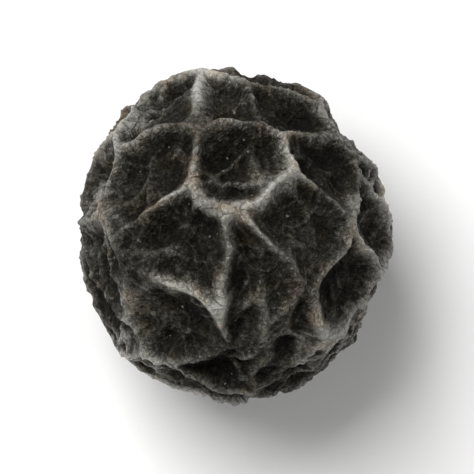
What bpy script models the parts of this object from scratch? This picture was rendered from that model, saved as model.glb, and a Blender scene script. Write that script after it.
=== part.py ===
"""Black peppercorn: one dried fruit about 5 mm across, lying on a small flat spot.

It is a single closed solid in metres, with +Z up. The origin is the middle of the rest spot, on the
surface that the peppercorn lies on. The skin is a slightly uneven ball whose folds stand up as a net
round sunken cells. The folds lie where two cells meet, as the walls of bubbles do: each cell has a
middle on the ball, and the folds are worked out from those middles.
"""

import math

import bmesh
import bpy
import numpy as np

# Overall size over the folds, in metres
WIDTH = 0.00496
DEPTH = 0.00522
HEIGHT = 0.00486
MIDDLE_RADIUS = (WIDTH + DEPTH + HEIGHT) / 6.0

# Main folds round the cells, side folds that cross some cells, and the unevenness of the ball
FOLD_HEIGHT = 0.00037
FOLD_HALF_WIDTH = 0.000150
FOLD_SHARPNESS = 1.5
SIDE_FOLD_HEIGHT = 0.00021
SIDE_FOLD_HALF_WIDTH = 0.000115
CELL_TILT = 0.00007
DISH_DEPTH = 0.00006
LUMP_HEIGHT = 0.00009

# Middles of the cells that face up, as (across, along) parts of the half width and the half depth
TOP_CELLS = (
    (0.15, 0.37),
    (-0.25, -0.05),
    (-0.38, -0.52),
    (0.54, 0.00),
    (-0.53, 0.32),
    (0.32, 0.78),
    (0.62, 0.46),
    (0.20, -0.36),
    (0.42, -0.50),
    (0.70, -0.32),
    (0.06, -0.76),
    (0.48, -0.84),
    (-0.28, -0.94),
    (-0.83, -0.20),
    (-0.80, -0.52),
    (-0.93, 0.24),
    (-0.10, 0.80),
    (-0.50, 0.76),
    (0.94, 0.10),
)

# The other cells follow a spiral round the ball, shaken a little. Cells are longer than wide,
# from the scar towards the tip, and their borders wander. Lengths here are parts of the radius
SPIRAL_CELLS = 62
SIDE_CELLS = 170
SPIRAL_SHAKE = 0.14
CLEAR_OF_TOP_CELLS = 0.36
CELL_STRETCH = 0.45
CELL_TURN = 0.6
CELL_SIZE_SPREAD = 0.10
NEAR_CELLS = 7
LEAST_SLOPE = 0.8
JUNCTION_BLEND = 0.35
MEANDER = 0.075
FINE_MEANDER = 0.022
SEED = 11

# The scar of the stalk, the tip at the other end, and the spot that the peppercorn rests on
SCAR_DIRECTION = (-0.70, 0.66, -0.26)
SCAR_RADIUS = 0.00046
SCAR_RIM_HEIGHT = 0.00015
SCAR_RIM_HALF_WIDTH = 0.00013
SCAR_PIT_DEPTH = 0.00020
SCAR_CORE_HEIGHT = 0.00013
SCAR_SINK = 0.00016
SCAR_WAVER = 0.10
TIP_DIRECTION = (0.74, -0.62, -0.26)
TIP_RADIUS = 0.00019
TIP_HEIGHT = 0.00026
TIP_SINK = 0.00015
REST_CUT = 0.00027
REST_RADIUS = 0.00030
REST_FADE = 0.00045
REST_SINK = 0.00005

# The mesh: edges of the first ball of triangles are cut this often, then faces are merged
GRID_CUTS = 59
TRIANGLES = 11400

SKIN_COLOUR = (0.060, 0.054, 0.045, 1.0)
SKIN_ROUGHNESS = 0.62


def clear_scene():
    for obj in list(bpy.data.objects):
        bpy.data.objects.remove(obj, do_unlink=True)


def unit(vectors):
    vectors = np.asarray(vectors, dtype=float)
    return vectors / np.linalg.norm(vectors, axis=-1, keepdims=True)


def smooth_step(low, high, values):
    """0 below low, 1 above high, and an even rise between."""
    part = np.clip((values - low) / (high - low), 0.0, 1.0)
    return part * part * (3.0 - 2.0 * part)


def bump(distances, radius, sharpness=2.0):
    """1 at distance 0, dying away past the radius."""
    return np.exp(-((distances / radius) ** sharpness))


def waves(points, waviness, seed, count=12):
    """Smooth noise of about -1 to 1: a sum of plane waves in seeded directions."""
    draw = np.random.default_rng(seed)
    ways = unit(draw.normal(size=(count, 3))) * draw.uniform(0.6, 1.4, (count, 1)) * waviness
    starts = draw.uniform(0.0, 2.0 * math.pi, count)
    return np.sin(points @ ways.T + starts).sum(axis=1) / math.sqrt(count)


def waves_3d(points, waviness, seed):
    return np.stack([waves(points, waviness, seed + axis) for axis in range(3)], axis=1)


def spiral(count, seed):
    """Unit vectors evenly over the ball, each shaken a little."""
    draw = np.random.default_rng(seed)
    steps = np.arange(count) + 0.5
    heights = 1.0 - 2.0 * steps / count
    turns = steps * math.pi * (3.0 - math.sqrt(5.0))
    rings = np.sqrt(1.0 - heights**2)
    even = np.stack([rings * np.cos(turns), rings * np.sin(turns), heights], axis=1)
    shake = SPIRAL_SHAKE * math.sqrt(SPIRAL_CELLS / count)
    return unit(even + draw.normal(size=even.shape) * shake)


def main_cells():
    """Unit vectors to the middles of the cells between the main folds."""
    top = np.array([(x, y, math.sqrt(1.0 - x * x - y * y)) for x, y in TOP_CELLS])
    others = spiral(SPIRAL_CELLS, SEED)
    nearest = np.linalg.norm(others[:, None] - top[None], axis=2).min(axis=1)
    return np.concatenate([top, others[nearest > CLEAR_OF_TOP_CELLS]])


def folds(directions, middles, half_width, seed):
    """The net of folds round these cells, how far inside a cell each point is, and that cell's tilt.

    A point belongs to the cell whose middle is nearest, with distances shortened along each cell's
    length. The step to the next cell over the slope between the two is the distance to the border.
    """
    spacing = math.sqrt(4.0 * math.pi / len(middles))
    axis = unit(unit(TIP_DIRECTION) - unit(SCAR_DIRECTION))
    lengthways = axis - middles * (middles @ axis)[:, None]
    lengthways = unit(lengthways + CELL_TURN * waves_3d(middles, 3.0, seed))
    sizes = np.random.default_rng(seed).uniform(-1.0, 1.0, len(middles))
    offsets = directions[:, None] - middles[None]
    along = (offsets * lengthways[None]).sum(axis=2)
    squares = (offsets**2).sum(axis=2) - CELL_STRETCH * along**2
    squares += CELL_SIZE_SPREAD * spacing**2 * sizes

    nearest = np.argsort(squares, axis=1)[:, :NEAR_CELLS]
    rows = np.arange(len(directions))[:, None]
    squares = squares[rows, nearest]
    shortened = CELL_STRETCH * along[rows, nearest, None] * lengthways[nearest]
    slopes = 2.0 * (offsets[rows, nearest] - shortened)
    slopes = np.linalg.norm(slopes[:, 1:] - slopes[:, :1], axis=2)
    to_borders = (squares[:, 1:] - squares[:, :1]) / np.hypot(slopes, LEAST_SLOPE * spacing)
    blend = JUNCTION_BLEND * half_width / MIDDLE_RADIUS
    to_border = -blend * np.log(np.exp(-to_borders / blend).sum(axis=1))
    to_border = np.maximum(to_border, 0.0)

    widths = half_width / MIDDLE_RADIUS * (1.0 + 0.25 * waves(directions, 5.0, seed + 3))
    heights = np.clip(0.80 + 0.35 * waves(directions, 6.0, seed + 21), 0.25, 1.0)
    net = heights * bump(to_border, widths, FOLD_SHARPNESS)
    cell = nearest[:, 0]
    tilts = np.random.default_rng(seed + 5).normal(size=middles.shape)
    tilt = (offsets[rows[:, 0], cell] * tilts[cell]).sum(axis=1) / (0.5 * spacing)
    return net, to_border / (0.45 * spacing), tilt


def distance_from(middle, directions):
    return MIDDLE_RADIUS * np.linalg.norm(directions - unit(middle), axis=1)


def ends(directions):
    """How fully the folds stand up, and how far the scar, the tip and the rest spot move the skin out."""
    from_rest = distance_from((0.0, 0.0, -1.0), directions)
    from_tip = distance_from(TIP_DIRECTION, directions)
    from_scar = distance_from(SCAR_DIRECTION, directions)
    from_scar *= 1.0 + SCAR_WAVER * waves(directions, 9.0, SEED + 80)
    at_rest = 1.0 - smooth_step(REST_RADIUS, REST_RADIUS + REST_FADE, from_rest)
    at_tip = bump(from_tip, 1.3 * TIP_RADIUS)
    at_scar = 1.0 - smooth_step(0.75 * SCAR_RADIUS, 1.4 * SCAR_RADIUS, from_scar)
    folded = (1.0 - at_rest) * (1.0 - at_tip) * (1.0 - at_scar)

    raised = TIP_HEIGHT * bump(from_tip, TIP_RADIUS)
    raised += SCAR_RIM_HEIGHT * bump(from_scar - SCAR_RADIUS, SCAR_RIM_HALF_WIDTH)
    raised += SCAR_CORE_HEIGHT * bump(from_scar, 0.25 * SCAR_RADIUS)
    raised -= SCAR_PIT_DEPTH * (1.0 - smooth_step(0.3 * SCAR_RADIUS, 0.95 * SCAR_RADIUS, from_scar))
    raised -= REST_SINK * at_rest + TIP_SINK * at_tip + SCAR_SINK * at_scar
    return folded, raised


def skin(directions):
    """Points of the skin in these directions, measured from the middle of the ball."""
    ball = directions * np.array([WIDTH, DEPTH, HEIGHT]) / 2.0
    bent = unit(directions + MEANDER * waves_3d(directions, 5.5, SEED + 10))
    bent = unit(bent + FINE_MEANDER * waves_3d(directions, 15.0, SEED + 20))
    net, inside, tilt = folds(bent, main_cells(), FOLD_HALF_WIDTH, SEED + 30)
    side_net, _, _ = folds(bent, spiral(SIDE_CELLS, SEED + 40), SIDE_FOLD_HALF_WIDTH, SEED + 50)
    side_net *= 0.50 + 0.50 * smooth_step(-0.3, 0.5, waves(directions, 6.0, SEED + 60))

    sunk = FOLD_HEIGHT * (1.0 - net) + (DISH_DEPTH + CELL_TILT * tilt) * smooth_step(0.0, 0.9, inside)
    sunk -= SIDE_FOLD_HEIGHT * side_net * (1.0 - net)
    folded, raised = ends(directions)
    radii = np.linalg.norm(ball, axis=1) - sunk * folded + raised
    radii += LUMP_HEIGHT * (waves(directions, 2.2, SEED + 70) - 0.5)
    return unit(ball) * radii[:, None]


def folded_ball():
    """An object with the skin on a fine, even grid of triangles."""
    grid = bmesh.new()
    bmesh.ops.create_icosphere(grid, subdivisions=1, radius=1.0)
    bmesh.ops.subdivide_edges(grid, edges=grid.edges[:], cuts=GRID_CUTS, use_grid_fill=True)
    points = skin(unit([vertex.co[:] for vertex in grid.verts]))
    points[:, 2] += HEIGHT / 2.0 - REST_CUT
    for vertex, point in zip(grid.verts, points):
        vertex.co = point
    mesh = bpy.data.meshes.new("black_peppercorn")
    grid.to_mesh(mesh)
    grid.free()
    ball = bpy.data.objects.new("black_peppercorn", mesh)
    bpy.context.scene.collection.objects.link(ball)
    return ball


def merge_faces(ball):
    """Merges faces where the skin is flattest, so that most of them are left on the folds."""
    decimate = ball.modifiers.new("merge_faces", "DECIMATE")
    decimate.ratio = TRIANGLES / len(ball.data.polygons)
    graph = bpy.context.evaluated_depsgraph_get()
    merged = bpy.data.meshes.new_from_object(ball.evaluated_get(graph))
    ball.modifiers.remove(decimate)
    ball.data = merged


def cut_rest_spot(ball):
    """Cuts the ball flat at Z = 0, where it rests."""
    solid = bmesh.new()
    solid.from_mesh(ball.data)
    everything = solid.verts[:] + solid.edges[:] + solid.faces[:]
    bmesh.ops.bisect_plane(
        solid, geom=everything, dist=1e-7, plane_co=(0, 0, 0), plane_no=(0, 0, -1), clear_outer=True
    )
    rims = [edge for edge in solid.edges if edge.is_boundary]
    bmesh.ops.holes_fill(solid, edges=rims, sides=0)
    solid.to_mesh(ball.data)
    solid.free()


def skin_material():
    material = bpy.data.materials.new("skin")
    material.use_nodes = True
    surface = material.node_tree.nodes["Principled BSDF"]
    surface.inputs["Base Color"].default_value = SKIN_COLOUR
    surface.inputs["Roughness"].default_value = SKIN_ROUGHNESS
    surface.inputs["Metallic"].default_value = 0.0
    return material


def main():
    clear_scene()
    peppercorn = folded_ball()
    merge_faces(peppercorn)
    cut_rest_spot(peppercorn)
    peppercorn.data.shade_smooth()
    peppercorn.data.set_sharp_from_angle(angle=math.radians(40.0))
    peppercorn.data.materials.append(skin_material())


main()
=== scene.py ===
"""Looks of the black peppercorn: its dark folded skin, on a pale floor under soft light, seen from above.

The skin follows the same formula as the solid, on a finer grid, with finer wrinkles added. Colours
come from how far each place stands out of the skin round it: hollows are nearly black, dark skin
with painted shade on it, and the crests of the folds are rubbed to a pale grey brown. Lengths are
in metres unless a name ends in _MM.
"""

import math

import bmesh
import bpy
import numpy as np
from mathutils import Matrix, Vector, noise


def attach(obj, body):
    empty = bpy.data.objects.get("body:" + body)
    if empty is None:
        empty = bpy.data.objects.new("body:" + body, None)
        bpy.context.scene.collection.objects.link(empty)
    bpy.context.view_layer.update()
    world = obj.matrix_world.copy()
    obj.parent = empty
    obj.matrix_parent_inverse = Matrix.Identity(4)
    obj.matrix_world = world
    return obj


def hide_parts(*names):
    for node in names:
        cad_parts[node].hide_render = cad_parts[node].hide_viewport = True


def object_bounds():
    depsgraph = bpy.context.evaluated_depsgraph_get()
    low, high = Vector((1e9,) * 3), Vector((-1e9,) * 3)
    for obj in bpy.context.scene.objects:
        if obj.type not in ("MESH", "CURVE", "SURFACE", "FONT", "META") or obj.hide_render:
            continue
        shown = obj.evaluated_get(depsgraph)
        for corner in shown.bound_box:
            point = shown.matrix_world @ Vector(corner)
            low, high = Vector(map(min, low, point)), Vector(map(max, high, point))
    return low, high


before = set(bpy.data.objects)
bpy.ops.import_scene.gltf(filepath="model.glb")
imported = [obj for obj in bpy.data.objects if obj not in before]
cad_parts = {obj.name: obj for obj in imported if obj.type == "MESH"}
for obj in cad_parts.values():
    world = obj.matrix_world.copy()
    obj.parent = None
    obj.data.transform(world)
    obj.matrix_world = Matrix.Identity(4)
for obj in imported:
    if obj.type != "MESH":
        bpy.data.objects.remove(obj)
CAD_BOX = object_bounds()

NODE = "black_peppercorn"
BODY = "root"

# The form that the solid has: overall size, folds, unevenness
WIDTH = 0.00496
DEPTH = 0.00522
HEIGHT = 0.00486
MIDDLE_RADIUS = (WIDTH + DEPTH + HEIGHT) / 6.0
FOLD_HEIGHT = 0.00037
FOLD_HALF_WIDTH = 0.000150
FOLD_SHARPNESS = 1.5
SIDE_FOLD_HEIGHT = 0.00021
SIDE_FOLD_HALF_WIDTH = 0.000115
CELL_TILT = 0.00007
DISH_DEPTH = 0.00006
LUMP_HEIGHT = 0.00009

# Middles of the cells that face up, as (across, along) parts of the half width and the half depth
TOP_CELLS = (
    (0.15, 0.37),
    (-0.25, -0.05),
    (-0.38, -0.52),
    (0.54, 0.00),
    (-0.53, 0.32),
    (0.32, 0.78),
    (0.62, 0.46),
    (0.20, -0.36),
    (0.42, -0.50),
    (0.70, -0.32),
    (0.06, -0.76),
    (0.48, -0.84),
    (-0.28, -0.94),
    (-0.83, -0.20),
    (-0.80, -0.52),
    (-0.93, 0.24),
    (-0.10, 0.80),
    (-0.50, 0.76),
    (0.94, 0.10),
)
SPIRAL_CELLS = 62
SIDE_CELLS = 170
SPIRAL_SHAKE = 0.14
CLEAR_OF_TOP_CELLS = 0.36
CELL_STRETCH = 0.45
CELL_TURN = 0.6
CELL_SIZE_SPREAD = 0.10
NEAR_CELLS = 7
LEAST_SLOPE = 0.8
JUNCTION_BLEND = 0.35
MEANDER = 0.075
FINE_MEANDER = 0.022
SEED = 11

# The scar of the stalk, the tip at the other end, and the spot that the peppercorn rests on
SCAR_DIRECTION = (-0.70, 0.66, -0.26)
SCAR_RADIUS = 0.00046
SCAR_RIM_HEIGHT = 0.00015
SCAR_RIM_HALF_WIDTH = 0.00013
SCAR_PIT_DEPTH = 0.00020
SCAR_CORE_HEIGHT = 0.00013
SCAR_SINK = 0.00016
SCAR_WAVER = 0.10
TIP_DIRECTION = (0.74, -0.62, -0.26)
TIP_RADIUS = 0.00019
TIP_HEIGHT = 0.00026
TIP_SINK = 0.00015
REST_CUT = 0.00027
REST_RADIUS = 0.00030
REST_FADE = 0.00045
REST_SINK = 0.00005

# The finer wrinkles that only this piece has
GRID_CUTS = 97
CRINKLE = 0.012
CRINKLE_SIZE_MM = 0.45
WRINKLE_SIZE_MM = 0.55
WRINKLE_WIDTH = 0.20
WRINKLE_HEIGHT = 0.000052
GATHER_SIZE = 0.55
GATHER_HEIGHT = 0.000038
GATHER_WIDTH = 0.25
CREST_NOTCH = 0.17
CREST_NOTCH_SIZE_MM = 0.34
GRAIN_SIZE_MM = 0.16
GRAIN_HEIGHT = 0.000006
FIBRE_SIZE = 0.30
FIBRE_WIDTH = 0.35
FIBRE_HEIGHT = 0.000045

# Folds that are rubbed palest, each a line of points given as the middles of the cells are
RUBBED_FOLDS = (
    ((-0.40, 0.19), (-0.25, 0.26), (-0.12, 0.15), (0.03, 0.08)),
    ((0.03, 0.08), (0.17, 0.16), (0.40, 0.33), (0.34, 0.58)),
    ((-0.90, 0.24), (-0.84, 0.14), (-0.80, 0.00)),
    ((-0.42, -0.30), (-0.34, -0.32), (-0.22, -0.35), (-0.08, -0.42)),
    ((-0.64, -0.38), (-0.69, -0.60), (-0.54, -0.77)),
    ((0.47, -0.66), (0.75, -0.53)),
    ((0.81, 0.19), (0.78, 0.00)),
    ((-0.20, 0.93), (-0.18, 0.82)),
    ((-0.74, 0.60), (-0.60, 0.72)),
)
RUBBED_REACH = 0.13

# Folds that stay darker than the rest
DARK_FOLDS = (
    ((-0.05, -0.06), (-0.06, -0.16)),
    ((-0.34, 0.64), (-0.14, 0.63)),
    ((-0.64, 0.12), (-0.52, 0.17)),
    ((-0.66, -0.18), (-0.54, -0.22)),
)
DARK_REACH = 0.13
DARK_SHARE = 0.65

# Places between the folds, and at the edge, that are greyer than the rest: partly greyer skin, and
# partly painted light on places that lie in a fold's shade or on the shaded edge
GREY_AND_LIT_PLACES = (
    ((0.12, -0.10), (0.62, -0.03)),
    ((0.04, -0.53), (0.35, -0.50)),
    ((0.88, 0.06), (0.86, -0.16)),
    ((0.30, 0.20), (0.32, 0.30)),
    ((-0.88, 0.20), (-0.80, 0.04)),
    ((-0.06, 0.88), (-0.06, 0.78)),
    ((-0.72, 0.30), (-0.66, 0.26)),
    ((-0.58, -0.50), (-0.54, -0.56)),
)
GREY_AND_LIT_REACH = 0.24

# From how much of a fold's height its skin shows pale, from how much fully, and how pale
PALE_FOLD = (0.45, 0.95)
PALE_SIDE_FOLD = (0.35, 0.85)
PALE_WRINKLE = (0.2, 0.9)
SIDE_FOLD_PALENESS = 0.60
RUBBED_LINE_PALENESS = 0.60
WRINKLE_PALENESS = 0.30

# Rounds of averaging with neighbours that give the level a place is compared with, and how far
# above that level a place counts as standing out fully. Standing out pales the skin as rubbing, and
# sinking below that level darkens it with painted shade.
NEAR_ROUNDS = 12
FAR_ROUNDS = 160
NEAR_STEP = 0.00002
FAR_STEP = 0.00010

MM = 1000.0


def unit(vectors):
    vectors = np.asarray(vectors, dtype=float)
    return vectors / np.linalg.norm(vectors, axis=-1, keepdims=True)


def smooth_step(low, high, values):
    """0 below low, 1 above high, and an even rise between."""
    part = np.clip((values - low) / (high - low), 0.0, 1.0)
    return part * part * (3.0 - 2.0 * part)


def bump(distances, radius, sharpness=2.0):
    """1 at distance 0, dying away past the radius."""
    return np.exp(-((distances / radius) ** sharpness))


def waves(points, waviness, seed, count=12):
    """Smooth noise of about -1 to 1: a sum of plane waves in seeded directions."""
    draw = np.random.default_rng(seed)
    ways = unit(draw.normal(size=(count, 3))) * draw.uniform(0.6, 1.4, (count, 1)) * waviness
    starts = draw.uniform(0.0, 2.0 * math.pi, count)
    return np.sin(points @ ways.T + starts).sum(axis=1) / math.sqrt(count)


def waves_3d(points, waviness, seed):
    return np.stack([waves(points, waviness, seed + axis) for axis in range(3)], axis=1)


def fractal(points_mm, size_mm, octaves, seed):
    """Fractal noise of about -1 to 1 whose largest lumps have this size."""
    shift = np.random.default_rng(seed).uniform(-50.0, 50.0, 3)
    places = points_mm / size_mm + shift
    return np.array([noise.fractal(Vector(place), 0.7, 2.0, octaves) for place in places])


def spiral(count, seed):
    """Unit vectors evenly over the ball, each shaken a little."""
    draw = np.random.default_rng(seed)
    steps = np.arange(count) + 0.5
    heights = 1.0 - 2.0 * steps / count
    turns = steps * math.pi * (3.0 - math.sqrt(5.0))
    rings = np.sqrt(1.0 - heights**2)
    even = np.stack([rings * np.cos(turns), rings * np.sin(turns), heights], axis=1)
    shake = SPIRAL_SHAKE * math.sqrt(SPIRAL_CELLS / count)
    return unit(even + draw.normal(size=even.shape) * shake)


def main_cells():
    """Unit vectors to the middles of the cells between the main folds."""
    top = np.array([(x, y, math.sqrt(1.0 - x * x - y * y)) for x, y in TOP_CELLS])
    others = spiral(SPIRAL_CELLS, SEED)
    nearest = np.linalg.norm(others[:, None] - top[None], axis=2).min(axis=1)
    return np.concatenate([top, others[nearest > CLEAR_OF_TOP_CELLS]])


def folds(directions, middles, half_width, seed):
    """The net of folds round these cells, how far inside a cell each point is, and its way out.

    A point belongs to the cell whose middle is nearest, with distances shortened along each cell's
    length. The step to the next cell over the slope between the two is the distance to the border.
    """
    spacing = math.sqrt(4.0 * math.pi / len(middles))
    axis = unit(unit(TIP_DIRECTION) - unit(SCAR_DIRECTION))
    lengthways = axis - middles * (middles @ axis)[:, None]
    lengthways = unit(lengthways + CELL_TURN * waves_3d(middles, 3.0, seed))
    sizes = np.random.default_rng(seed).uniform(-1.0, 1.0, len(middles))
    offsets = directions[:, None] - middles[None]
    along = (offsets * lengthways[None]).sum(axis=2)
    squares = (offsets**2).sum(axis=2) - CELL_STRETCH * along**2
    squares += CELL_SIZE_SPREAD * spacing**2 * sizes

    nearest = np.argsort(squares, axis=1)[:, :NEAR_CELLS]
    rows = np.arange(len(directions))[:, None]
    squares = squares[rows, nearest]
    stretches = CELL_STRETCH * along[rows, nearest, None] * lengthways[nearest]
    slopes = 2.0 * (offsets[rows, nearest] - stretches)
    slopes = np.linalg.norm(slopes[:, 1:] - slopes[:, :1], axis=2)
    to_borders = (squares[:, 1:] - squares[:, :1]) / np.hypot(slopes, LEAST_SLOPE * spacing)
    blend = JUNCTION_BLEND * half_width / MIDDLE_RADIUS
    to_border = -blend * np.log(np.exp(-to_borders / blend).sum(axis=1))
    to_border = np.maximum(to_border, 0.0)

    widths = half_width / MIDDLE_RADIUS * (1.0 + 0.25 * waves(directions, 5.0, seed + 3))
    heights = np.clip(0.80 + 0.35 * waves(directions, 6.0, seed + 21), 0.25, 1.0)
    net = heights * bump(to_border, widths, FOLD_SHARPNESS)
    cell = nearest[:, 0]
    offset = offsets[rows[:, 0], cell]
    tilts = np.random.default_rng(seed + 5).normal(size=middles.shape)
    tilt = (offset * tilts[cell]).sum(axis=1) / (0.5 * spacing)
    outwards = unit(offset + 1e-9) + 3.0 * middles[cell]
    return net, to_border / (0.45 * spacing), tilt, outwards


def distance_from(middle, directions):
    return MIDDLE_RADIUS * np.linalg.norm(directions - unit(middle), axis=1)


def ends(directions):
    """How fully the folds stand up, how far the ends and the rest spot move the skin, and how far
    each point is from the scar's middle."""
    from_rest = distance_from((0.0, 0.0, -1.0), directions)
    from_tip = distance_from(TIP_DIRECTION, directions)
    from_scar = distance_from(SCAR_DIRECTION, directions)
    from_scar *= 1.0 + SCAR_WAVER * waves(directions, 9.0, SEED + 80)
    at_rest = 1.0 - smooth_step(REST_RADIUS, REST_RADIUS + REST_FADE, from_rest)
    at_tip = bump(from_tip, 1.3 * TIP_RADIUS)
    at_scar = 1.0 - smooth_step(0.75 * SCAR_RADIUS, 1.4 * SCAR_RADIUS, from_scar)
    folded = (1.0 - at_rest) * (1.0 - at_tip) * (1.0 - at_scar)

    raised = TIP_HEIGHT * bump(from_tip, TIP_RADIUS)
    raised += SCAR_RIM_HEIGHT * bump(from_scar - SCAR_RADIUS, SCAR_RIM_HALF_WIDTH)
    raised += SCAR_CORE_HEIGHT * bump(from_scar, 0.25 * SCAR_RADIUS)
    raised -= SCAR_PIT_DEPTH * (1.0 - smooth_step(0.3 * SCAR_RADIUS, 0.95 * SCAR_RADIUS, from_scar))
    raised -= REST_SINK * at_rest + TIP_SINK * at_tip + SCAR_SINK * at_scar
    return folded, raised, from_scar


def crests_of(level, width):
    """Sharp crests along the lines where a noise level crosses 0, 1 at the top."""
    return np.clip(1.0 - np.abs(level) / width, 0.0, 1.0) ** 1.4


def scar_fibres(directions, from_scar):
    """Woody fibres that run out from the middle of the scar, and how far each point belongs to it."""
    outwards = unit(directions - unit(SCAR_DIRECTION) + 1e-9) + 200.0 * from_scar[:, None]
    fibres = crests_of(fractal(outwards, FIBRE_SIZE, 2, SEED + 170), FIBRE_WIDTH)
    scar = smooth_step(0.15 * SCAR_RADIUS, 0.5 * SCAR_RADIUS, from_scar)
    scar *= 1.0 - smooth_step(1.0 * SCAR_RADIUS, 1.35 * SCAR_RADIUS, from_scar)
    return fibres, scar


def wrinkles(points_mm, seed):
    """Fine crooked wrinkles at two sizes, about 1 on their crests."""
    large = crests_of(fractal(points_mm, WRINKLE_SIZE_MM, 2, seed), WRINKLE_WIDTH)
    small = crests_of(fractal(points_mm, 0.45 * WRINKLE_SIZE_MM, 2, seed + 1), WRINKLE_WIDTH)
    return 0.76 * large + 0.24 * small


def near_lines(directions, lines, reach):
    """1 on these lines, drawn on the upper half as seen from above, and 0 beyond their reach."""
    flat = directions[:, :2]
    nearness = np.zeros(len(flat))
    for line in lines:
        for start, end in zip(line, line[1:]):
            start, run = np.array(start), np.array(end) - start
            share = np.clip((flat - start) @ run / (run @ run), 0.0, 1.0)
            distance = np.linalg.norm(flat - start - share[:, None] * run, axis=1)
            nearness = np.maximum(nearness, bump(distance, reach))
    return nearness * smooth_step(-0.1, 0.1, directions[:, 2])


def pale_fields(directions, net, side_net, fine_net):
    """How pale each point is, how rubbed it is where it is pale, and how grey it is elsewhere, the
    grey being partly painted light on shaded places.
    """
    upper = smooth_step(0.1, 0.5, directions[:, 2])
    rubbed_lines = near_lines(directions, RUBBED_FOLDS, RUBBED_REACH)
    rubbed = smooth_step(0.0, 0.9, waves(directions, 7.0, SEED + 150))
    rubbed = rubbed * (1.0 - 0.75 * upper) + rubbed_lines

    pale = np.maximum(smooth_step(*PALE_FOLD, net), RUBBED_LINE_PALENESS * rubbed_lines**6)
    beside = side_net * (1.0 - 0.5 * net)
    pale = np.maximum(pale, SIDE_FOLD_PALENESS * smooth_step(*PALE_SIDE_FOLD, beside))
    pale += WRINKLE_PALENESS * smooth_step(*PALE_WRINKLE, fine_net) * (1.0 - pale)
    pale *= 1.0 - DARK_SHARE * near_lines(directions, DARK_FOLDS, DARK_REACH)

    grey_and_lit = smooth_step(0.1, 1.1, waves(directions, 5.0, SEED + 160)) * (1.0 - upper)
    # The listed places: partly greyer skin, partly painted light where a fold's shade falls
    grey_and_lit += near_lines(directions, GREY_AND_LIT_PLACES, GREY_AND_LIT_REACH)
    return {"pale": pale, "rubbed": np.clip(rubbed, 0.0, 1.0), "grey_and_lit": np.clip(grey_and_lit, 0.0, 1.0)}


def skin(directions):
    """Points of the skin in these directions, and the fields that its colours follow."""
    ball = directions * np.array([WIDTH, DEPTH, HEIGHT]) / 2.0
    bent = unit(directions + MEANDER * waves_3d(directions, 5.5, SEED + 10))
    bent = unit(bent + FINE_MEANDER * waves_3d(directions, 15.0, SEED + 20))
    crinkles = [fractal(ball * MM, CRINKLE_SIZE_MM, 2, SEED + 100 + axis) for axis in range(3)]
    bent = unit(bent + CRINKLE * np.stack(crinkles, axis=1))
    net, inside, tilt, outwards = folds(bent, main_cells(), FOLD_HALF_WIDTH, SEED + 30)
    side_net, _, _, _ = folds(bent, spiral(SIDE_CELLS, SEED + 40), SIDE_FOLD_HALF_WIDTH, SEED + 50)
    side_net *= 0.50 + 0.50 * smooth_step(-0.3, 0.5, waves(directions, 6.0, SEED + 60))

    notches = smooth_step(0.0, 0.6, fractal(ball * MM, CREST_NOTCH_SIZE_MM, 2, SEED + 110))
    notched = net * (1.0 - CREST_NOTCH * notches)
    sunk = FOLD_HEIGHT * (1.0 - notched) + (DISH_DEPTH + CELL_TILT * tilt) * smooth_step(0.0, 0.9, inside)
    sunk -= SIDE_FOLD_HEIGHT * side_net * (1.0 - net)
    folded, raised, from_scar = ends(directions)
    radii = np.linalg.norm(ball, axis=1) - sunk * folded + raised
    radii += LUMP_HEIGHT * (waves(directions, 2.2, SEED + 70) - 0.5)

    flank = 4.0 * net * (1.0 - net)
    gathers = crests_of(fractal(outwards, GATHER_SIZE, 2, SEED + 120), GATHER_WIDTH)
    radii += GATHER_HEIGHT * gathers * flank * folded
    warped = ball * MM + 0.06 * np.stack(crinkles, axis=1)
    fine_net = wrinkles(warped, SEED + 130)
    radii += WRINKLE_HEIGHT * (fine_net - 0.3) * (1.0 - 0.6 * net) * folded
    radii += GRAIN_HEIGHT * fractal(ball * MM, GRAIN_SIZE_MM, 3, SEED + 140)
    fine_net = np.maximum(fine_net, 0.8 * gathers * flank)

    fibres, scar = scar_fibres(directions, from_scar)
    radii += FIBRE_HEIGHT * (fibres - 0.5) * scar
    fields = pale_fields(directions, net * folded, side_net, fine_net)
    fields["scar"] = scar * (0.6 + 0.4 * fibres)
    return unit(ball) * radii[:, None], radii, fields


def level_round(values, edges, rounds):
    """These values averaged with their neighbours along the mesh's edges, that many times."""
    here = np.concatenate([edges[:, 0], edges[:, 1]])
    there = np.concatenate([edges[:, 1], edges[:, 0]])
    counts = np.bincount(here, minlength=len(values))
    for _ in range(rounds):
        sums = np.bincount(here, weights=values[there], minlength=len(values))
        values = 0.5 * values + 0.5 * sums / counts
    return values


def skin_piece():
    """The whole skin as one closed mesh, with the fields as attributes of its points."""
    grid = bmesh.new()
    bmesh.ops.create_icosphere(grid, subdivisions=1, radius=1.0)
    bmesh.ops.subdivide_edges(grid, edges=grid.edges[:], cuts=GRID_CUTS, use_grid_fill=True)
    points, radii, fields = skin(unit([vertex.co[:] for vertex in grid.verts]))
    points[:, 2] = np.maximum(points[:, 2] + HEIGHT / 2.0 - REST_CUT, 0.0)
    for vertex, point in zip(grid.verts, points):
        vertex.co = point
    mesh = bpy.data.meshes.new("peppercorn_skin")
    grid.to_mesh(mesh)
    grid.free()
    mesh.shade_smooth()

    edges = np.empty(len(mesh.edges) * 2, np.int32)
    mesh.edges.foreach_get("vertices", edges)
    edges = edges.reshape(-1, 2)
    # High spots pale as rubbed skin, and low ones darken with painted shade in the hollows
    fields["rub_and_shade_near"] = (radii - level_round(radii, edges, NEAR_ROUNDS)) / NEAR_STEP
    fields["rub_and_shade_far"] = (radii - level_round(radii, edges, FAR_ROUNDS)) / FAR_STEP
    for name, values in fields.items():
        attribute = mesh.attributes.new(name, "FLOAT", "POINT")
        attribute.data.foreach_set("value", values.astype(np.float32))

    piece = bpy.data.objects.new("peppercorn_skin", mesh)
    bpy.context.scene.collection.objects.link(piece)
    return piece


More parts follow.
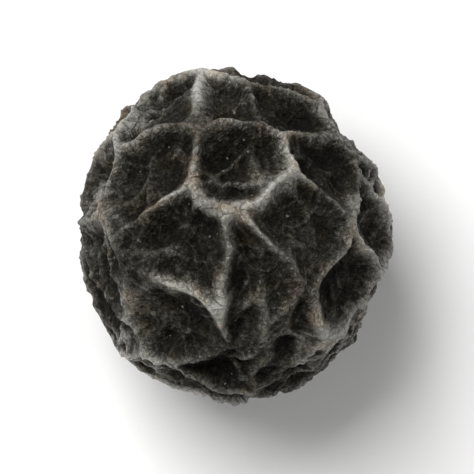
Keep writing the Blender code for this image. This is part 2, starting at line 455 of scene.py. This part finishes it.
class Nodes:
    """Short calls for building one material's nodes."""

    def __init__(self, name):
        self.material = bpy.data.materials.new(name)
        self.material.use_nodes = True
        self.tree = self.material.node_tree
        self.surface = self.tree.nodes["Principled BSDF"]

    def set(self, socket, value):
        """Links an output to this socket, or sets a plain value on it."""
        if isinstance(value, bpy.types.NodeSocket):
            self.tree.links.new(value, socket)
        else:
            socket.default_value = value

    def add(self, kind, **inputs):
        node = self.tree.nodes.new("ShaderNode" + kind)
        for name, value in inputs.items():
            self.set(node.inputs[name.replace("_", " ")], value)
        return node

    def field(self, name):
        node = self.add("Attribute")
        node.attribute_name = name
        return node.outputs["Fac"]

    def math(self, operation, first, second=0.0):
        node = self.add("Math")
        node.operation = operation
        self.set(node.inputs[0], first)
        self.set(node.inputs[1], second)
        return node.outputs[0]

    def stretch(self, value, low, high, to_low=0.0, to_high=1.0):
        """The value moved from the range low to high into another, and held there."""
        node = self.add("MapRange", Value=value)
        node.interpolation_type = "SMOOTHSTEP"
        ends = {"From Min": low, "From Max": high, "To Min": to_low, "To Max": to_high}
        for name, number in ends.items():
            self.set(node.inputs[name], number)
        return node.outputs["Result"]

    def total(self, start, parts, weights):
        """The start, with each of the weights times the part of its name added."""
        for name, weight in weights.items():
            start = self.math("ADD", start, self.math("MULTIPLY", parts[name], weight))
        return start

    def mix(self, share, first, second, kind="MIX"):
        node = self.add("Mix")
        node.data_type = "RGBA"
        node.blend_type = kind
        self.set(node.inputs["Factor"], share)
        self.set(node.inputs["A"], first)
        self.set(node.inputs["B"], second)
        return node.outputs["Result"]

    def ramp(self, value, stops):
        node = self.add("ValToRGB", Fac=value)
        elements = node.color_ramp.elements
        while len(elements) < len(stops):
            elements.new(1.0)
        for element, (place, colour) in zip(elements, stops):
            element.position = place
            element.color = (*colour, 1.0)
        return node.outputs["Color"]


# The deepest hollows: the dark skin with painted shade on it, darker than the skin alone
SHADED_HOLLOW = (0.0043, 0.0038, 0.0028)
FLOOR_OF_CELL = (0.0138, 0.0124, 0.0092)
FLANK = (0.036, 0.0330, 0.0262)
DULL_CREST = (0.085, 0.080, 0.0665)
CREST = (0.158, 0.151, 0.131)
RUBBED = (0.305, 0.297, 0.267)
BROWN = (1.22, 0.97, 0.70)
SPECK = (0.36, 0.335, 0.28)
WOOD = (0.110, 0.080, 0.050)
PALE_WOOD = (0.250, 0.200, 0.140)

# The colour at each tone, which runs from 0 in the deepest hollow, dark with painted shade, to 1
# on the most rubbed crest
SKIN_STOPS = (
    (0.0, SHADED_HOLLOW),
    (0.15, FLOOR_OF_CELL),
    (0.33, FLANK),
    (0.52, DULL_CREST),
    (0.72, CREST),
    (1.0, RUBBED),
)
WOOD_STOPS = ((0.0, FLANK), (0.35, WOOD), (0.75, PALE_WOOD))
WOOD_LIFT = 0.12
WOOD_SHARE = 0.85

# Each noise's lumps to a millimetre, detail and roughness
NOISES = {
    "patches": (2.0, 2.0, 0.6),
    "mottle": (6.0, 3.0, 0.6),
    "flakes": (16.0, 4.0, 0.7),
    "grain": (45.0, 3.0, 0.7),
    "lumps": (10.0, 2.0, 0.5),
}

# The fine creases: plates to a millimetre, how wide the creases are, and how far they stray
CREASE_SCALE = 6.5
CREASE_WIDTH = 0.16
CREASE_BEND_SCALE = 5.0
CREASE_BEND = 0.16

# What the tone is the sum of, with how much each adds
TONE_START = 0.055
TONE_WEIGHTS = {
    "pale": 0.34,
    "rubbed_pale": 0.34,
    "pale_creases": -0.16,
    "grey_and_lit": 0.15,
    # Standing out pales as rubbing, and sinking in darkens as painted shade
    "rub_and_shade_far": 0.060,
    "rub_and_shade_near": 0.045,
    "mottle": 0.40,
    "flakes": 0.75,
    "grain": 0.60,
}

# Where the patches turn brown and how much, and the pale specks to a millimetre, their size and share
BROWN_FROM = -0.02
BROWN_TO = 0.22
BROWN_SHARE = 0.7
SPECK_SCALE = 5.0
SPECK_INNER = 0.035
SPECK_OUTER = 0.07
SPECK_SHARE = 0.32
SPECK_RAGGEDNESS = {"mottle": 0.5, "flakes": 0.14}

# The dull skin in the hollows, and the shine of the hard rubbed crests
DULL_ROUGHNESS = 0.70
RUBBED_ROUGHNESS = 0.50
SPECULAR_LEVEL = 0.06
COAT_WEIGHT = 0.95
COAT_ROUGHNESS = 0.16
RELIEF_WEIGHTS = {"lumps": 1.0, "flakes": 0.35, "creases": 0.22}
RELIEF_HEIGHT = 0.000052


def skin_creases(nodes, place):
    """1 on the fine creases that part the skin into crooked plates, and 0 inside a plate."""
    crooked = nodes.add("TexNoise", Vector=place, Scale=CREASE_BEND_SCALE, Detail=1.0)
    bent = nodes.add("VectorMath")
    bent.operation = "MULTIPLY_ADD"
    nodes.set(bent.inputs[0], crooked.outputs["Color"])
    bent.inputs[1].default_value = (CREASE_BEND, CREASE_BEND, CREASE_BEND)
    nodes.set(bent.inputs[2], place)
    plates = nodes.add("TexVoronoi", Vector=bent.outputs["Vector"], Scale=CREASE_SCALE)
    plates.feature = "DISTANCE_TO_EDGE"
    return nodes.stretch(plates.outputs["Distance"], 0.0, CREASE_WIDTH, 1.0, 0.0)


def skin_parts(nodes, place):
    """The noises, each of about -0.5 to 0.5, and the fields that the tone and the relief add up."""
    parts = {name: nodes.field(name) for name in ("pale", "grey_and_lit", "rub_and_shade_far", "rub_and_shade_near")}
    for name, (scale, detail, roughness) in NOISES.items():
        node = nodes.add("TexNoise", Vector=place, Scale=scale, Detail=detail, Roughness=roughness)
        parts[name] = nodes.math("SUBTRACT", node.outputs["Fac"], 0.5)
    parts["creases"] = skin_creases(nodes, place)
    parts["rubbed_pale"] = nodes.math("MULTIPLY", parts["pale"], nodes.field("rubbed"))
    parts["pale_creases"] = nodes.math("MULTIPLY", parts["pale"], parts["creases"])
    return parts


def skin_colour(nodes, place, parts, tone):
    """The colour of each tone, with brown patches, pale specks and the woody scar."""
    colour = nodes.ramp(tone, SKIN_STOPS)
    brown = nodes.stretch(parts["patches"], BROWN_FROM, BROWN_TO, 0.0, BROWN_SHARE)
    colour = nodes.mix(brown, colour, (*BROWN, 1.0), "MULTIPLY")
    dots = nodes.add("TexVoronoi", Vector=place, Scale=SPECK_SCALE)
    from_dot = nodes.total(dots.outputs["Distance"], parts, SPECK_RAGGEDNESS)
    speck = nodes.stretch(from_dot, SPECK_INNER, SPECK_OUTER, SPECK_SHARE, 0.0)
    colour = nodes.mix(speck, colour, (*SPECK, 1.0))
    woody = nodes.ramp(nodes.math("ADD", tone, WOOD_LIFT), WOOD_STOPS)
    return nodes.mix(nodes.math("MULTIPLY", nodes.field("scar"), WOOD_SHARE), colour, woody)


def skin_material():
    nodes = Nodes("skin")
    place = nodes.add("Mapping", Vector=nodes.add("TexCoord").outputs["Object"])
    place.inputs["Scale"].default_value = (MM, MM, MM)
    place = place.outputs["Vector"]
    parts = skin_parts(nodes, place)
    tone = nodes.total(TONE_START, parts, TONE_WEIGHTS)

    surface = nodes.surface.inputs
    nodes.set(surface["Base Color"], skin_colour(nodes, place, parts, tone))
    nodes.set(surface["Roughness"], nodes.stretch(tone, 0.1, 0.8, DULL_ROUGHNESS, RUBBED_ROUGHNESS))
    surface["Specular IOR Level"].default_value = SPECULAR_LEVEL
    nodes.set(surface["Coat Weight"], nodes.stretch(tone, 0.12, 0.62, 0.0, COAT_WEIGHT))
    surface["Coat Roughness"].default_value = COAT_ROUGHNESS

    relief = nodes.total(0.0, parts, RELIEF_WEIGHTS)
    bumps = nodes.add("Bump", Height=relief, Strength=1.0, Distance=RELIEF_HEIGHT)
    nodes.set(surface["Normal"], bumps.outputs["Normal"])
    nodes.set(surface["Coat Normal"], bumps.outputs["Normal"])
    return nodes.material


# The floor, flat and then sweeping up, and the distances between which its glow grows
FLOOR_FLAT_RADIUS = 0.12
FLOOR_SWEEP_RADIUS = 0.08
FLOOR_DROP = 0.00001
FLOOR_COLOUR = (0.86, 0.86, 0.855)
FLOOR_ROUGHNESS = 0.9
GLOW_START = 0.01
GLOW_FULL = 0.08
GLOW_STRENGTH = 0.70
FLOOR_RINGS = 24
FLOOR_SIDES = 96

LIGHT_PLACE = (-0.040, 0.055, 0.100)
LIGHT_SIZE = 0.070
LIGHT_WATTS = 0.172
SKY_STRENGTH = 0.23

# The photograph shows hardly any perspective, so the lens is long
VIEW_WIDTH = 0.0072
LENS_MM = 400.0
SENSOR_MM = 36.0


def floor_material():
    """Matt and pale, with a glow far out that keeps the backdrop as white as the floor."""
    nodes = Nodes("floor")
    surface = nodes.surface.inputs
    surface["Base Color"].default_value = (*FLOOR_COLOUR, 1.0)
    surface["Roughness"].default_value = FLOOR_ROUGHNESS
    distance = nodes.add("VectorMath")
    distance.operation = "LENGTH"
    nodes.set(distance.inputs[0], nodes.add("TexCoord").outputs["Object"])
    glow = nodes.stretch(distance.outputs["Value"], GLOW_START, GLOW_FULL, 0.0, GLOW_STRENGTH)
    surface["Emission Color"].default_value = (1.0, 1.0, 1.0, 1.0)
    nodes.set(surface["Emission Strength"], glow)
    return nodes.material


def floor_profile():
    """How far out and how high the floor runs: flat from its middle, then up a quarter turn."""
    yield 0.0, 0.0
    for ring in range(FLOOR_RINGS + 1):
        turn = 0.5 * math.pi * ring / FLOOR_RINGS
        across = FLOOR_FLAT_RADIUS + FLOOR_SWEEP_RADIUS * math.sin(turn)
        yield across, FLOOR_SWEEP_RADIUS * (1.0 - math.cos(turn))


def floor():
    """A round floor that sweeps up at its edge, so that no horizon shows from the side."""
    mesh = bmesh.new()
    profile = [mesh.verts.new((across, 0.0, height - FLOOR_DROP)) for across, height in floor_profile()]
    edges = [mesh.edges.new(pair) for pair in zip(profile, profile[1:])]
    bmesh.ops.spin(
        mesh,
        geom=profile + edges,
        cent=(0.0, 0.0, 0.0),
        axis=(0.0, 0.0, 1.0),
        angle=2.0 * math.pi,
        steps=FLOOR_SIDES,
        use_merge=True,
    )
    bmesh.ops.remove_doubles(mesh, verts=mesh.verts[:], dist=FLOOR_DROP)
    bmesh.ops.recalc_face_normals(mesh, faces=mesh.faces[:])
    data = bpy.data.meshes.new("floor")
    mesh.to_mesh(data)
    mesh.free()
    data.shade_smooth()
    data.materials.append(floor_material())
    obj = bpy.data.objects.new("floor", data)
    bpy.context.scene.collection.objects.link(obj)


def soft_light(name, place, size, watts):
    """A square area light that faces the peppercorn."""
    light = bpy.data.lights.new(name, "AREA")
    light.size = size
    light.energy = watts
    obj = bpy.data.objects.new(name, light)
    obj.location = place
    obj.rotation_euler = (-Vector(place)).to_track_quat("-Z", "Y").to_euler()
    bpy.context.scene.collection.objects.link(obj)


def lights():
    soft_light("light_above", LIGHT_PLACE, LIGHT_SIZE, LIGHT_WATTS)
    world = bpy.data.worlds.new("world")
    world.use_nodes = True
    background = world.node_tree.nodes["Background"]
    background.inputs["Color"].default_value = (1.0, 1.0, 1.0, 1.0)
    background.inputs["Strength"].default_value = SKY_STRENGTH
    bpy.context.scene.world = world
    bpy.context.scene.view_settings.view_transform = "Standard"


def camera():
    """Straight above, as the photograph was taken, with the peppercorn's middle in the middle."""
    low, high = CAD_BOX
    middle = (low + high) / 2.0
    data = bpy.data.cameras.new("camera")
    data.lens = LENS_MM
    data.sensor_width = SENSOR_MM
    data.clip_start = 0.001
    data.clip_end = 10.0
    obj = bpy.data.objects.new("camera", data)
    obj.location = (middle.x, middle.y, middle.z + VIEW_WIDTH * LENS_MM / SENSOR_MM)
    bpy.context.scene.collection.objects.link(obj)
    bpy.context.scene.camera = obj


camera()
peppercorn = skin_piece()
peppercorn.data.materials.append(skin_material())
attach(peppercorn, BODY)
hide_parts(NODE)
floor()
lights()
